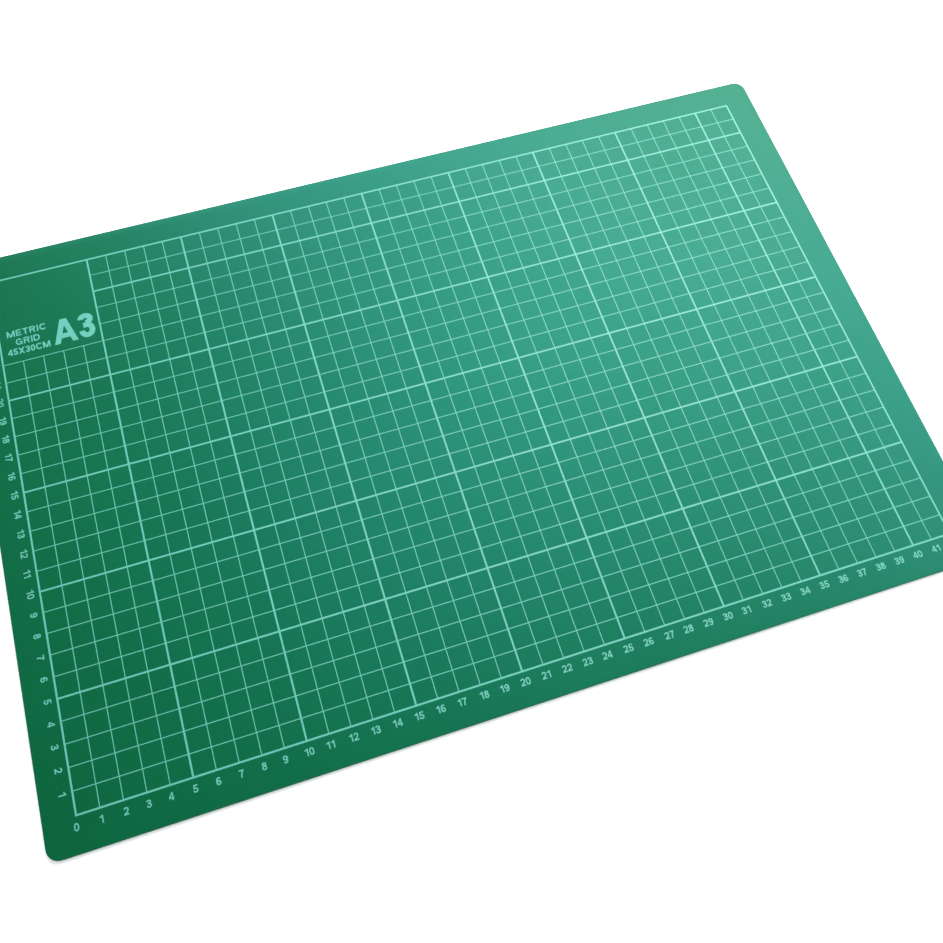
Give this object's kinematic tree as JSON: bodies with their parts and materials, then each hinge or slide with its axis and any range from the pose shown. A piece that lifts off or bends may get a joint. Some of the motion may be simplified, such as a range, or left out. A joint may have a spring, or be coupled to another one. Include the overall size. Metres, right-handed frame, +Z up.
{
  "type": "self healing mat",
  "caption": "Flat rectangular five-ply vinyl cutting mat with rounded corners and a printed centimetre grid on its top face.",
  "frame": {"origin": "centre of the underside, on the surface the mat lies on", "axes": "+X along the long side, towards the high end of the long ruler; +Y along the short side, away from the zero corner; +Z up, out of the printed face"},
  "size_m": [0.45, 0.3, 0.003],
  "materials": {
    "green_vinyl_underside": "matt calendered soft vinyl, unprinted",
    "bond_vinyl_lower": "thin soft vinyl film",
    "core_vinyl": "hard white vinyl, seen only at the cut edge",
    "bond_vinyl": "thin soft vinyl film",
    "green_vinyl": "matt soft vinyl with a faint sheen",
    "grid_ink": "pale screen-printed ink",
    "size_letter_ink": "pale screen-printed ink",
    "size_figure_ink": "pale screen-printed ink"
  },
  "bodies": {
    "root": {"bottom_skin": "green_vinyl_underside", "lower_bond_film": "bond_vinyl_lower", "rigid_core": "core_vinyl", "upper_bond_film": "bond_vinyl", "top_skin": "green_vinyl", "printed_main_lines": "grid_ink", "printed_size_letter": "size_letter_ink", "printed_size_figure": "size_figure_ink"}
  },
  "joints": []
}
